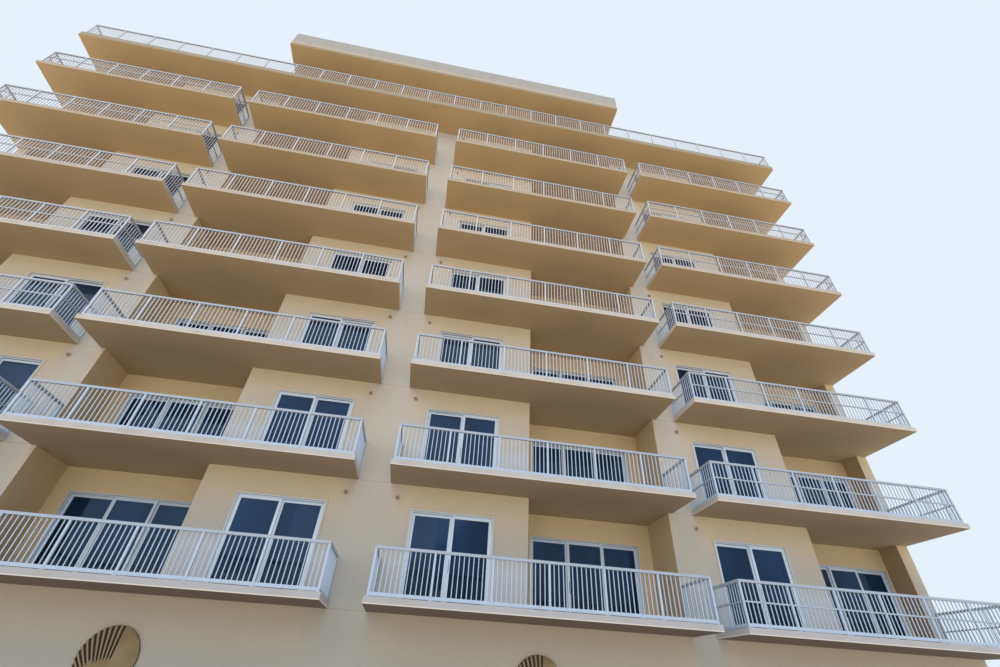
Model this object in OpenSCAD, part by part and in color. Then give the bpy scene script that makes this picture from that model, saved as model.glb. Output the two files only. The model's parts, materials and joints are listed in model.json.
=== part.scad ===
// Beachside apartment block: four bays of cantilevered balconies over a plain ground storey.
// Lengths are in millimetres. The front faces -Y, and the origin is the middle of the footprint
// at ground level. The block is alike on both sides of X = 0.

/* [Storeys] */
// Ground level to the underside of the lowest balconies
ground_h = 3040; // [2600:10:4500]
// Height from one floor to the next
storey_h = 3200; // [2900:10:3800]
// Rows of separate balconies below the terrace
balcony_rows = 7; // [7]
// Thickness of the floor and balcony slabs
slab_t = 150; // [120:5:260]
// Thickness of the terrace slab above the top balconies
terrace_t = 300; // [200:5:450]
// Thickness of the roof slab
roof_t = 200; // [150:5:300]
// Height of the roof's fascia and parapet, from the roof's underside
fascia_h = 1400; // [600:10:1800]
// Thickness of the parapet
parapet_t = 200; // [120:5:300]

/* [Plan] */
// Depth from the front wall's face to the rear wall's face
body_d = 12500; // [9000:50:16000]
// How far the balconies stand out from the front wall
balcony_d = 1500; // [1200:10:2200]
// Distance from the middle to the inner balconies
middle_gap = 460; // [300:5:700]
// How far the inner balconies run past the inner recesses
balcony_past = 130; // [0:5:300]
// Clear gap between an inner and an outer balcony
bay_gap = 660; // [300:5:900]
// How far the roof runs past the inner balconies at each side
roof_over = 160; // [0:5:400]

/* [Walls] */
// Thickness of the outer walls
wall_t = 200; // [150:5:300]
// Thickness of the end walls
end_t = 400; // [250:5:500]
// How far the end walls' front edges stand behind the front wall
end_back = 770; // [300:10:1200]
// Depth of the recesses behind the front wall
recess_d = 1500; // [900:10:2000]
// Distance from the middle to the first two-panel door
middle_pier_w = 1190; // [900:5:1500]
// Wall between the inner bay's two-panel door and its recess
inner_pier_w = 1035; // [600:5:1300]
// Wall between the inner recess and the outer bay's two-panel door
bay_pier_w = 1350; // [1000:5:1700]
// Wall between the outer bay's two-panel door and its recess
outer_pier_w = 1010; // [600:5:1300]
// Walls beside the inner three-panel door, nearer to the middle and farther from it
inner_near_w = 415; // [150:5:700]
inner_far_w = 455; // [150:5:700]
// Walls beside the outer three-panel door, nearer to the middle and farther from it
outer_near_w = 625; // [60:5:900]
outer_far_w = 100; // [60:5:500]

/* [Doors] */
// Width of one panel of the two-panel doors
panel_w = 1150; // [900:5:1300]
// Width of one panel of the inner and of the outer three-panel doors
inner_wide_panel_w = 1175; // [900:5:1300]
outer_wide_panel_w = 1065; // [900:5:1300]
// Height of the door openings above the floor
door_h = 2360; // [2000:10:2600]
// Face width of the fixed frames
frame_w = 30; // [25:5:80]
// Depth of the fixed frames
frame_d = 120; // [100:5:140]
// How far the frames stand behind the wall's face
frame_back = 40; // [10:5:60]
// Width of the sliding panels' stiles and rails
stile_w = 72; // [45:1:90]
// How far each sliding panel laps over the next
stile_lap = 12; // [0:1:60]
// Thickness of the sliding panels
sash_t = 44; // [36:2:50]
// Thickness of the glass
glass_t = 24; // [10:2:32]

/* [Rear windows] */
// Rear windows on each side of the middle
windows_per_side = 4; // [1:1:4]
// Width of a rear window
window_w = 1800; // [900:10:2600]
// Height of a rear window
window_h = 1300; // [900:10:1600]
// Width of the bars of their frames
window_bar_w = 60; // [40:5:80]
// Height of the window sills above the floor
sill_h = 1000; // [600:10:1200]

/* [Railings] */
// Height of the railings above the floor
rail_h = 1070; // [900:5:1200]
// Distance from a slab's edge to the middle of its railing
rail_inset = 80; // [40:5:150]
// Width of the square posts
post_w = 50; // [40:2:80]
// Greatest distance between posts
post_pitch = 1420; // [900:10:1600]
// Depth of the top rail
top_rail_h = 65; // [40:1:80]
// Width of the top rail
top_rail_w = 60; // [50:1:80]
// Depth of the bottom rail
low_rail_h = 75; // [40:1:100]
// Height of the bottom rail above the floor
low_rail_z = 20; // [10:5:60]
// Depth of the outer balconies' middle rail
mid_rail_h = 38; // [25:1:50]
// Height of the middle rail above the floor
mid_rail_z = 550; // [400:10:700]
// Width of the bottom and middle rails
low_rail_w = 32; // [22:1:45]

/* [Fixtures] */
// Radius of the wall lights
light_r = 75; // [50:5:120]
// How far the wall lights stand out from the wall
light_out = 90; // [50:5:140]
// Distance from the ceiling down to the wall lights
light_drop = 390; // [200:10:500]
// Distance from the inner two-panel door to its wall light
inner_light_side = 470; // [200:5:600]
// Distance from the outer two-panel door to its wall light
outer_light_side = 530; // [200:5:700]

/* [Shell medallions] */
// Radius of the medallions
shell_r = 615; // [400:5:800]
// How far the medallions stand out from the wall
shell_out = 60; // [30:5:100]
// Distance from the lowest slab down to the medallions' centres
shell_drop = 1240; // [900:10:1800]
// Distance of the medallions' centres outward from the middle of their balcony
shell_shift = 55; // [0:5:300]
// Number of grooves between the flutes
grooves = 11; // [5:1:11]
// Angle between one groove and the next
groove_step = 4.6; // [4:0.1:5]
// Width of a groove at its outer end
groove_w = 52; // [30:2:60]
// Depth of the grooves
groove_d = 34; // [10:2:50]

/* [Hidden] */
total_d = balcony_d + body_d;
y_front = -total_d / 2;
y_wall = y_front + balcony_d;
y_recess = y_wall + recess_d;
y_end = y_wall + end_back;
y_rear = total_d / 2;
terrace_row = balcony_rows + 1;
two_w = 2 * panel_w;
inner_wide_w = 3 * inner_wide_panel_w;
outer_wide_w = 3 * outer_wide_panel_w;
// Distances from the middle, in order outwards
inner_door_x = middle_pier_w;
inner_recess_x = inner_door_x + two_w + inner_pier_w;
inner_wide_x = inner_recess_x + inner_near_w;
inner_recess_end = inner_wide_x + inner_wide_w + inner_far_w;
inner_end = inner_recess_end + balcony_past;
penthouse_out = inner_recess_end + wall_t;
roof_end = inner_end + roof_over;
outer_start = inner_end + bay_gap;
outer_door_x = inner_recess_end + bay_pier_w;
outer_recess_x = outer_door_x + two_w + outer_pier_w;
outer_wide_x = outer_recess_x + outer_near_w;
end_in = outer_wide_x + outer_wide_w + outer_far_w;
half_w = end_in + end_t;
window_pitch = end_in / windows_per_side;
penthouse_windows = floor((inner_recess_end - window_w / 2) / window_pitch + 0.5);
// The medallion's grooves point away from a hub below it
hub_side = 0.14 * shell_r;
hub_drop = 1.27 * shell_r;
groove_start = 1.27 * shell_r;

function floor_z(row) = ground_h + (row - 1) * storey_h + slab_t;
function slab_z(row) = floor_z(row) - (row == terrace_row ? terrace_t : slab_t);
roof_z = ground_h + terrace_row * storey_h;
function ceiling_z(row) = row == terrace_row ? roof_z : slab_z(row + 1);

// Plan rectangles of one half, as [x from, x to]
middle_pier = [0, inner_door_x];
inner_pier = [inner_door_x + two_w, inner_recess_x];
bay_pier = [inner_recess_end, outer_door_x];
outer_pier = [outer_door_x + two_w, outer_recess_x];
inner_jamb = [inner_recess_x - wall_t, inner_wide_x];
inner_far_jamb = [inner_wide_x + inner_wide_w, inner_recess_end];
outer_jamb = [outer_recess_x - wall_t, outer_wide_x];
outer_far_jamb = [outer_wide_x + outer_wide_w, end_in];
// Doors of one half, as [left edge, face, width, panels, rows that have it]
two_panel_doors = [[inner_door_x, y_wall, two_w, 2, terrace_row],
                   [outer_door_x, y_wall, two_w, 2, balcony_rows]];
three_panel_doors = [[inner_wide_x, y_recess, inner_wide_w, 3, terrace_row],
                     [outer_wide_x, y_recess, outer_wide_w, 3, balcony_rows]];

module both_sides() {
    children();
    mirror([1, 0, 0]) children();
}

// Plan rectangle between two x values and two y values
module plan(x, y0, y1) {
    translate([x[0], y0]) square([x[1] - x[0], y1 - y0]);
}

// Upright wall on a plan rectangle between two heights
module wall(x, y0, y1, z0, z1) {
    translate([0, 0, z0]) linear_extrude(z1 - z0) plan(x, y0, y1);
}

// A wall that crosses the middle of the block
module middle_wall(x, y0, y1, z0, z1) {
    wall([-x, x], y0, y1, z0, z1);
}

// Sheet drawn as x and z in an upright plane, from its face y towards the rear
module upright(y, t) {
    translate([0, y + t, 0]) rotate([90, 0, 0]) linear_extrude(t) children();
}

// Ground storey

module ground_front_wall() {
    color("wheat") middle_wall(half_w, y_wall, y_wall + wall_t, 0, ground_h);
}

module ground_side_walls() {
    color("wheat") both_sides()
        wall([end_in, half_w], y_wall + wall_t, y_rear - wall_t, 0, ground_h);
}

module ground_rear_wall() {
    color("wheat") middle_wall(half_w, y_rear - wall_t, y_rear, 0, ground_h);
}

// Slabs

// Walls that pass through the slabs on their way up
module front_pier_plan() {
    plan(middle_pier, y_wall, y_wall + wall_t);
    plan(inner_pier, y_wall, y_wall + wall_t);
}

module outer_front_pier_plan() {
    plan(bay_pier, y_wall, y_wall + wall_t);
    plan(outer_pier, y_wall, y_wall + wall_t);
}

module inner_recess_plan() {
    plan([inner_recess_x - wall_t, inner_recess_x], y_wall + wall_t, y_recess);
    plan(inner_jamb, y_recess, y_recess + wall_t);
    plan(inner_far_jamb, y_recess, y_recess + wall_t);
}

module outer_recess_plan() {
    plan([inner_recess_end, inner_recess_end + wall_t], y_wall + wall_t, y_recess + wall_t);
    plan([outer_recess_x - wall_t, outer_recess_x], y_wall + wall_t, y_recess);
    plan(outer_jamb, y_recess, y_recess + wall_t);
    plan(outer_far_jamb, y_recess, y_recess + wall_t);
}

// One half of a floor with its two balconies
module floor_plan() {
    plan([0, end_in], y_wall, y_rear - wall_t);
    plan([middle_gap, inner_end], y_front, y_wall);
    plan([outer_start, half_w], y_front, y_wall);
    plan([end_in, half_w], y_wall, y_end);
}

module floor_slab(row) {
    color("antiquewhite") translate([0, 0, slab_z(row)]) linear_extrude(slab_t) both_sides()
        difference() {
            floor_plan();
            front_pier_plan();
            outer_front_pier_plan();
            if (row > 1) {
                inner_recess_plan();
                outer_recess_plan();
            }
        }
}

module terrace_slab() {
    color("antiquewhite") translate([0, 0, slab_z(terrace_row)]) linear_extrude(terrace_t)
        difference() {
            plan([-half_w, half_w], y_front, y_rear);
            both_sides() {
                front_pier_plan();
                inner_recess_plan();
            }
        }
}

module roof_slab() {
    color("antiquewhite") middle_wall(roof_end, y_front, y_rear, roof_z, roof_z + roof_t);
}

module parapet_front_and_rear() {
    color("antiquewhite") {
        middle_wall(roof_end, y_front, y_front + parapet_t, roof_z + roof_t, roof_z + fascia_h);
        middle_wall(roof_end, y_rear - parapet_t, y_rear, roof_z + roof_t, roof_z + fascia_h);
    }
}

module parapet_sides() {
    color("antiquewhite") both_sides()
        wall([roof_end - parapet_t, roof_end], y_front + parapet_t, y_rear - parapet_t,
             roof_z + roof_t, roof_z + fascia_h);
}

// Walls above the ground storey

module front_wall_piers() {
    y1 = y_wall + wall_t;
    color("wheat") {
        middle_wall(inner_door_x, y_wall, y1, ground_h, roof_z);
        both_sides() {
            wall(inner_pier, y_wall, y1, ground_h, roof_z);
            wall(bay_pier, y_wall, y1, ground_h, slab_z(terrace_row));
            wall(outer_pier, y_wall, y1, ground_h, slab_z(terrace_row));
        }
    }
}

module recess_side_walls() {
    y0 = y_wall + wall_t;
    color("wheat") both_sides() {
        wall([inner_recess_x - wall_t, inner_recess_x], y0, y_recess, floor_z(1), roof_z);
        wall([inner_recess_end, inner_recess_end + wall_t], y0, y_recess + wall_t,
             floor_z(1), slab_z(terrace_row));
        wall([outer_recess_x - wall_t, outer_recess_x], y0, y_recess,
             floor_z(1), slab_z(terrace_row));
    }
}

module recess_wall_piers() {
    y1 = y_recess + wall_t;
    color("wheat") both_sides() {
        wall(inner_jamb, y_recess, y1, floor_z(1), roof_z);
        wall(inner_far_jamb, y_recess, y1, floor_z(1), roof_z);
        wall(outer_jamb, y_recess, y1, floor_z(1), slab_z(terrace_row));
        wall(outer_far_jamb, y_recess, y1, floor_z(1), slab_z(terrace_row));
    }
}

// Walls over doors
module door_lintels(doors) {
    color("wheat") both_sides() for (door = doors, row = [1:door[4]])
        wall([door[0], door[0] + door[2]], door[1], door[1] + wall_t,
             floor_z(row) + door_h, ceiling_z(row));
}

module end_wall_right() {
    color("wheat") wall([end_in, half_w], y_end, y_rear - wall_t, ground_h, slab_z(terrace_row));
}

module end_wall_left() {
    mirror([1, 0, 0]) end_wall_right();
}

// Windows of one storey on the rear, as x and z, on one side of the middle
module rear_openings(row, count) {
    for (i = [0:count - 1])
        translate([(i + 0.5) * window_pitch - window_w / 2, floor_z(row) + sill_h])
            square([window_w, window_h]);
}

module rear_wall() {
    color("wheat") upright(y_rear - wall_t, wall_t) difference() {
        translate([-half_w, ground_h]) square([2 * half_w, slab_z(terrace_row) - ground_h]);
        both_sides() for (row = [1:balcony_rows]) rear_openings(row, windows_per_side);
    }
}

module penthouse_end_walls() {
    color("wheat") both_sides()
        wall([inner_recess_end, penthouse_out], y_wall, y_rear - wall_t,
             floor_z(terrace_row), roof_z);
}

module penthouse_rear_wall() {
    z0 = floor_z(terrace_row);
    color("wheat") upright(y_rear - wall_t, wall_t) difference() {
        translate([-penthouse_out, z0]) square([2 * penthouse_out, roof_z - z0]);
        both_sides() rear_openings(terrace_row, penthouse_windows);
    }
}

// Railings

// Straight railing along +X from the centre of its first post, standing at z = 0.
// first and last say whether the end posts belong to it.
module rail_run(length, middle_rail, first = true, last = true) {
    bays = ceil(length / post_pitch);
    bay = length / bays;
    a = first ? -post_w / 2 : post_w / 2;
    b = last ? length + post_w / 2 : length - post_w / 2;
    rails = [[low_rail_z, low_rail_h], if (middle_rail) [mid_rail_z, mid_rail_h]];
    for (i = [first ? 0 : 1:last ? bays : bays - 1])
        translate([i * bay - post_w / 2, -post_w / 2, 0]) cube([post_w, post_w, rail_h - top_rail_h]);
    translate([a, -top_rail_w / 2, rail_h - top_rail_h]) cube([b - a, top_rail_w, top_rail_h]);
    for (rail = rails) translate([a, -low_rail_w / 2, rail[0]]) cube([b - a, low_rail_w, rail[1]]);
}

// Railing along the front edge of one balcony, between two slab ends
module front_run(x0, x1, middle_rail) {
    translate([x0 + rail_inset, y_front + rail_inset, 0])
        rail_run(x1 - x0 - 2 * rail_inset, middle_rail);
}

// Railing from a corner post back to a wall's face at y1
module return_run(x, y1, middle_rail) {
    translate([x, y_front + rail_inset, 0]) rotate([0, 0, 90])
        rail_run(y1 - y_front - rail_inset - post_w / 2, middle_rail, first = false);
}

module railing_row(row) {
    color("white") translate([0, 0, floor_z(row)]) both_sides() {
        front_run(middle_gap, inner_end, false);
        front_run(outer_start, half_w, true);
    }
}

module railing_returns() {
    color("white") for (row = [1:balcony_rows]) translate([0, 0, floor_z(row)]) both_sides() {
        return_run(middle_gap + rail_inset, y_wall, false);
        return_run(inner_end - rail_inset, y_wall, false);
        return_run(outer_start + rail_inset, y_wall, true);
        return_run(half_w - rail_inset, y_end, true);
    }
}

module terrace_railing_front() {
    color("white") translate([0, 0, floor_z(terrace_row)]) front_run(-half_w, half_w, false);
}

module terrace_railing_sides() {
    color("white") translate([0, 0, floor_z(terrace_row)]) both_sides()
        translate([half_w - rail_inset, y_front + rail_inset, 0]) rotate([0, 0, 90])
            rail_run(total_d - 2 * rail_inset, false, first = false, last = false);
}

module terrace_railing_rear() {
    length = half_w - rail_inset - penthouse_out - post_w / 2;
    color("white") translate([0, 0, floor_z(terrace_row)]) both_sides()
        translate([penthouse_out + post_w / 2, y_rear - rail_inset, 0])
            rail_run(length, false);
}

// Doors and windows

// Rectangular ring in elevation, from its lower left corner
module ring(width, height, edge) {
    difference() {
        square([width, height]);
        translate([edge, edge]) square([width - 2 * edge, height - 2 * edge]);
    }
}

// Places its children at the lower left corner of one door's face, on each of its rows
module each_row(door) {
    both_sides() for (row = [1:door[4]]) translate([door[0], door[1], floor_z(row)]) children();
}

module door_frames(doors) {
    color("white") for (door = doors)
        each_row(door) upright(frame_back, frame_d) ring(door[2], door_h, frame_w);
}

// Width of one sliding panel of a door, and height of all of them
function sash_w(door) = (door[2] - 2 * frame_w + (door[3] - 1) * stile_lap) / door[3];
sash_h = door_h - 2 * frame_w;

// Places its children at each sliding panel of a door, on two tracks in turn
module each_panel(door) {
    track = (frame_d - 2 * sash_t) / 3;
    each_row(door) for (i = [0:door[3] - 1])
        translate([frame_w + i * (sash_w(door) - stile_lap),
                   frame_back + track + (i % 2 == 0 ? track + sash_t : 0), frame_w])
            children();
}

module door_sashes(doors) {
    color("white") for (door = doors)
        each_panel(door) upright(0, sash_t) ring(sash_w(door), sash_h, stile_w);
}

module door_glass(doors) {
    color("midnightblue") for (door = doors)
        each_panel(door) translate([stile_w, 0, stile_w]) upright((sash_t - glass_t) / 2, glass_t)
            square([sash_w(door) - 2 * stile_w, sash_h - 2 * stile_w]);
}

// Places its children at the lower corner of each rear window's face, seen from behind
module each_rear_window() {
    both_sides() for (row = [1:terrace_row])
        for (i = [0:(row < terrace_row ? windows_per_side : penthouse_windows) - 1])
            translate([(i + 0.5) * window_pitch + window_w / 2, y_rear, floor_z(row) + sill_h])
                rotate([0, 0, 180]) children();
}

// Elevation of the two panes of a rear window
module rear_panes() {
    pane_w = (window_w - 3 * window_bar_w) / 2;
    for (i = [0:1])
        translate([window_bar_w + i * (pane_w + window_bar_w), window_bar_w])
            square([pane_w, window_h - 2 * window_bar_w]);
}

module rear_window_frames() {
    color("white") each_rear_window() upright(frame_back, frame_d) difference() {
        square([window_w, window_h]);
        rear_panes();
    }
}

module rear_window_glass() {
    color("midnightblue") each_rear_window()
        upright(frame_back + (frame_d - glass_t) / 2, glass_t) rear_panes();
}

// Fixtures

module wall_light() {
    rotate([90, 0, 0]) rotate_extrude($fn = 32) polygon([
        [0, 0], [light_r, 0], [light_r, light_out * 0.35],
        [light_r * 0.8, light_out * 0.8], [light_r * 0.4, light_out], [0, light_out]]);
}

module wall_lights() {
    color("saddlebrown") both_sides() for (row = [1:terrace_row]) {
        z = ceiling_z(row) - light_drop;
        translate([inner_door_x - inner_light_side, y_wall, z]) wall_light();
        if (row < terrace_row) translate([outer_door_x - outer_light_side, y_wall, z]) wall_light();
    }
}

// Round medallion with a bevelled rim. The grooves between its flutes fan out over the left
// side from a hub below it, and the right side is smooth.
module shell_medallion() {
    far = hub_drop + shell_r;
    difference() {
        rotate([90, 0, 0]) rotate_extrude($fn = 64) polygon([
            [0, 0], [shell_r, 0], [shell_r, shell_out * 0.6],
            [shell_r * 0.96, shell_out], [0, shell_out]]);
        translate([hub_side, 0, -hub_drop]) for (i = [0:grooves - 1])
            rotate([0, -i * groove_step, 0]) upright(-shell_out - groove_d, 2 * groove_d)
                polygon([for (side = [-1, 1], r = side < 0 ? [groove_start, far] : [far, groove_start])
                    [side * groove_w / 2 * r / far, r]]);
    }
}

module shell_medallions() {
    inner_x = (middle_gap + inner_end) / 2 + shell_shift;
    outer_x = (outer_start + half_w) / 2 + shell_shift;
    color("peru") for (x = [-outer_x, -inner_x, inner_x, outer_x])
        translate([x, y_wall, ground_h - shell_drop]) shell_medallion();
}

ground_front_wall();
ground_side_walls();
ground_rear_wall();
for (row = [1:balcony_rows]) {
    floor_slab(row);
    railing_row(row);
}
terrace_slab();
roof_slab();
parapet_front_and_rear();
parapet_sides();
front_wall_piers();
recess_side_walls();
recess_wall_piers();
door_lintels(two_panel_doors);  // front_door_lintels
door_lintels(three_panel_doors);  // recess_door_lintels
end_wall_left();
end_wall_right();
rear_wall();
penthouse_end_walls();
penthouse_rear_wall();
railing_returns();
terrace_railing_front();
terrace_railing_sides();
terrace_railing_rear();
door_frames(two_panel_doors);  // two_panel_door_frames
door_frames(three_panel_doors);  // three_panel_door_frames
door_sashes(two_panel_doors);  // two_panel_door_sashes
door_sashes(three_panel_doors);  // three_panel_door_sashes
door_glass(two_panel_doors);  // two_panel_door_glass
door_glass(three_panel_doors);  // three_panel_door_glass
rear_window_frames();
rear_window_glass();
wall_lights();
shell_medallions();
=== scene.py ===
import json
from math import pi, radians, tan

import bpy
import numpy as np
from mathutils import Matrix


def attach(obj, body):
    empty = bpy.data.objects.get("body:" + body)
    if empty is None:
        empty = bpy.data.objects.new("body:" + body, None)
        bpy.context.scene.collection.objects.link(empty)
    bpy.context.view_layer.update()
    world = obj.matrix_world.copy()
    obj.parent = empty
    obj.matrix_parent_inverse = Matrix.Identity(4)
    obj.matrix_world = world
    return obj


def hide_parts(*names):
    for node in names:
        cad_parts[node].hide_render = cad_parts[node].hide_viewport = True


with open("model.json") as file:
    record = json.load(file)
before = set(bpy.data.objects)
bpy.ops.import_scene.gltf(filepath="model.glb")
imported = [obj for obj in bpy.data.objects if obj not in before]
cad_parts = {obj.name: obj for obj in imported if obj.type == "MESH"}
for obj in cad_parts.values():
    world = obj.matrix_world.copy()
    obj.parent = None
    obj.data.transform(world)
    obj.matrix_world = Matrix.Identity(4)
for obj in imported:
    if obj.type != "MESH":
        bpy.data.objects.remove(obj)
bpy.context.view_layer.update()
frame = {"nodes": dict(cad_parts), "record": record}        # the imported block: its nodes, its body and its record

# Sizes of the block in metres, the same as in the part's source
block = {
    "rows": 7, "ground": 3.04, "storey": 3.2, "slab": 0.15, "terraceZ": 25.3,
    "frontY": -7.0, "wallY": -5.5, "recessY": -4.0, "endY": -4.73, "rearY": 7.0,
    "halfWidth": 17.9, "endWallX": 17.5, "middleGap": 0.46, "innerEnd": 9.05, "outerStart": 9.71,
    "penthouseSide": 9.12,
}
# Left edge, width, face and panels of each door of one half, and whether the terrace has it too
doors = [
    {"x": 1.19, "width": 2.3, "y": block["wallY"], "panels": 2, "terrace": True},
    {"x": 4.94, "width": 3.525, "y": block["recessY"], "panels": 3, "terrace": True},
    {"x": 10.27, "width": 2.3, "y": block["wallY"], "panels": 2, "terrace": False},
    {"x": 14.205, "width": 3.195, "y": block["recessY"], "panels": 3, "terrace": False},
]


def floorZ(row):
    return block["ground"] + (row - 1) * block["storey"] + block["slab"]


class Value:
    # A node's output. Python's operators on it add Math nodes.
    def __init__(self, paint, socket):
        self.paint = paint
        self.socket = socket

    def __add__(self, other):
        return self.paint.maths("ADD", self, other)

    def __sub__(self, other):
        return self.paint.maths("SUBTRACT", self, other)

    def __rsub__(self, other):
        return self.paint.maths("SUBTRACT", other, self)

    def __mul__(self, other):
        return self.paint.maths("MULTIPLY", self, other)

    def __truediv__(self, other):
        return self.paint.maths("DIVIDE", self, other)

    def __mod__(self, other):
        return self.paint.maths("FLOORED_MODULO", self, other)

    def __lt__(self, other):
        return self.paint.maths("LESS_THAN", self, other)

    def __gt__(self, other):
        return self.paint.maths("GREATER_THAN", self, other)

    __radd__ = __add__
    __rmul__ = __mul__

    # Goes smoothly from 0 at one value to 1 at the other
    def between(self, low, high):
        return self.paint.add("MapRange", {"interpolation_type": "SMOOTHSTEP"},
                              {"Value": self, "From Min": low, "From Max": high})


class Paint:
    # The node tree of one material
    def __init__(self, name):
        self.material = bpy.data.materials.new(name)
        self.material.use_nodes = True
        self.tree = self.material.node_tree
        self.shader = self.tree.nodes["Principled BSDF"]
        self.place = self.add("TexCoord", output="Object")
        split = self.add("SeparateXYZ", {}, {0: self.place})
        self.xyz = [Value(self, socket) for socket in split.socket.node.outputs]

    # Any node, from its type, its settings and the values or links of its sockets
    def add(self, kind, settings=None, sockets=None, output=0):
        node = self.tree.nodes.new("ShaderNode" + kind)
        for key, value in (settings or {}).items():
            setattr(node, key, value)
        for key, value in (sockets or {}).items():
            self.feed(node.inputs[key], value)
        return Value(self, node.outputs[output])

    def feed(self, socket, value):
        if isinstance(value, Value):
            self.tree.links.new(value.socket, socket)
        else:
            socket.default_value = value

    def maths(self, operation, first, second=0.0):
        return self.add("Math", {"operation": operation}, {0: first, 1: second})

    def mix(self, first, second, factor):
        return self.add("Mix", {"data_type": "RGBA"}, {6: first, 7: second, 0: factor}, output=2)

    def noise(self, scale, detail=3, stretch=(1, 1, 1)):
        place = self.add("Mapping", {}, {"Vector": self.place, "Scale": stretch})
        return self.add("TexNoise", {}, {"Vector": place, "Scale": scale, "Detail": detail})

    def bump(self, height, distance, strength=1.0):
        return self.add("Bump", {}, {"Height": height, "Distance": distance, "Strength": strength})

    # How much a surface faces along one axis, from -1 to 1
    def facing(self, axis=(0, 0, 1)):
        normal = self.add("NewGeometry", output="Normal")
        return self.add("VectorMath", {"operation": "DOT_PRODUCT"}, {0: normal, 1: axis},
                        output="Value")

    # Height within a storey, from 0 at a slab's underside
    def storeyHeight(self):
        return (self.xyz[2] - block["ground"]) % block["storey"]

    def finish(self, **sockets):
        for key, value in sockets.items():
            self.feed(self.shader.inputs[key.replace("_", " ")], value)
        return self.material


def colour(red, green, blue):
    # sRGB from 0 to 255, made linear
    parts = [c / 255 for c in (red, green, blue)]
    return [c / 12.92 if c <= 0.04045 else ((c + 0.055) / 1.055) ** 2.4 for c in parts] + [1.0]


# The camera, its place and turns found from points of the block, the light and the floor
view = {
    "place": (1.5426, -19.0338, 1.6587), "turn": (127.838, -2.811, -9.833), "lens": 16.58,
    "sensor": 36, "farthest": 600, "sky": (0.80, 0.88, 0.97, 1), "skyLight": 0.86, "sunLight": 1.0,
    "sunTurn": (52, 6, -30), "sunAngle": 70, "floorSize": 260, "floorColour": (0.86, 0.85, 0.82, 1),
    "floorRough": 0.9,
}


def link(name, data):
    thing = bpy.data.objects.new(name, data)
    bpy.context.scene.collection.objects.link(thing)
    return thing


def makeView():
    scene = bpy.context.scene
    scene.view_settings.view_transform = "Standard"
    scene.camera = camera = link("camera", bpy.data.cameras.new("camera"))
    camera.location = view["place"]
    camera.rotation_euler = [radians(a) for a in view["turn"]]
    camera.data.sensor_width = view["sensor"]
    camera.data.sensor_fit = "HORIZONTAL"
    camera.data.lens = view["lens"]
    camera.data.clip_end = view["farthest"]
    sun = link("sun", bpy.data.lights.new("sun", "SUN"))
    sun.data.energy = view["sunLight"]
    sun.data.angle = radians(view["sunAngle"])
    sun.rotation_euler = [radians(a) for a in view["sunTurn"]]
    size = view["floorSize"]
    corners = [(-size, -size, 0), (size, -size, 0), (size, size, 0), (-size, size, 0)]
    mesh = bpy.data.meshes.new("floor")
    mesh.from_pydata(corners, [], [(0, 1, 2, 3)])
    p = Paint("floor")
    mesh.materials.append(p.finish(Base_Color=view["floorColour"], Roughness=view["floorRough"]))
    link("floor", mesh)

    # The sky lights the block evenly, and is seen and reflected as a plain pale blue
    scene.world = world = bpy.data.worlds.new("sky")
    world.use_nodes = True
    nodes, links = world.node_tree.nodes, world.node_tree.links
    nodes["Background"].inputs["Color"].default_value = (1, 1, 1, 1)
    nodes["Background"].inputs["Strength"].default_value = view["skyLight"]
    shown = nodes.new("ShaderNodeBackground")
    shown.inputs["Color"].default_value = view["sky"]
    path = nodes.new("ShaderNodeLightPath")
    seen = path.outputs["Is Camera Ray"]
    for ray in ("Is Glossy Ray", "Is Transmission Ray"):
        either = nodes.new("ShaderNodeMath")
        either.operation = "MAXIMUM"
        links.new(seen, either.inputs[0])
        links.new(path.outputs[ray], either.inputs[1])
        seen = either.outputs[0]
    mix = nodes.new("ShaderNodeMixShader")
    links.new(seen, mix.inputs[0])
    links.new(nodes["Background"].outputs[0], mix.inputs[1])
    links.new(shown.outputs[0], mix.inputs[2])
    links.new(mix.outputs[0], nodes["World Output"].inputs[0])
    print("camera, light and floor are set")


# Walls: cream stucco with faint run marks and a sand grain. It is painted greyer and darker towards the
# ground as painted shade and lighter high up as painted light, and yellower below each soffit and in the
# recesses as painted warm light from the soffits. A pair says where a change starts and where it is
# complete, in metres: over the ground (Z), over a slab's underside (Height) or from the middle of the
# block (X).
stucco = {
    "cream": colour(198, 190, 177), "pale": colour(205, 198, 188), "low": colour(167, 167, 162),
    "high": colour(222, 212, 200), "warm": colour(236, 211, 165), "warmHigh": colour(240, 217, 173),
    "recess": colour(238, 213, 168), "cool": colour(203, 212, 226), "side": colour(150, 118, 85),
    "stain": colour(152, 138, 116), "joint": colour(164, 150, 128),
    "middleX": (0.1, 1.2), "gapStartX": (8.7, 9.3), "gapEndX": (10.2, 9.5), "outerX": 13,
    "lowZ": (9, 1), "highZ": (13, 23), "warmZ": (9, 18), "strongerZ": (2.6, 4.5), "recessZ": (4, 8),
    "shadeZ": (7, 17), "splashZ": (0.7, 0.0),
    "warmHeight": (1.7, 3.3), "coolHeight": (1.55, 1.1), "recessHeight": (0.6, 2.4), "runHeight": (1.4, 3.2),
    "lowShare": 0.95, "highShare": 0.35, "coolShare": 0.5, "runShare": 0.1, "jointShare": 0.8,
    "splashShare": 0.5, "speckShare": 0.12, "warmLeast": 0.45, "warmMore": 0.35,
    "recessLeast": 0.45, "recessHigher": 0.3, "recessUpper": 0.15,
    "sideShade": 0.3, "outerSideShade": 0.25, "outerShade": 0.12, "shadeFade": 0.5,
    "patches": 0.55, "grain": 70, "grainDepth": 0.004, "rough": 0.86, "jointHeight": 0.012, "reach": 0.02,
}


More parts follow.
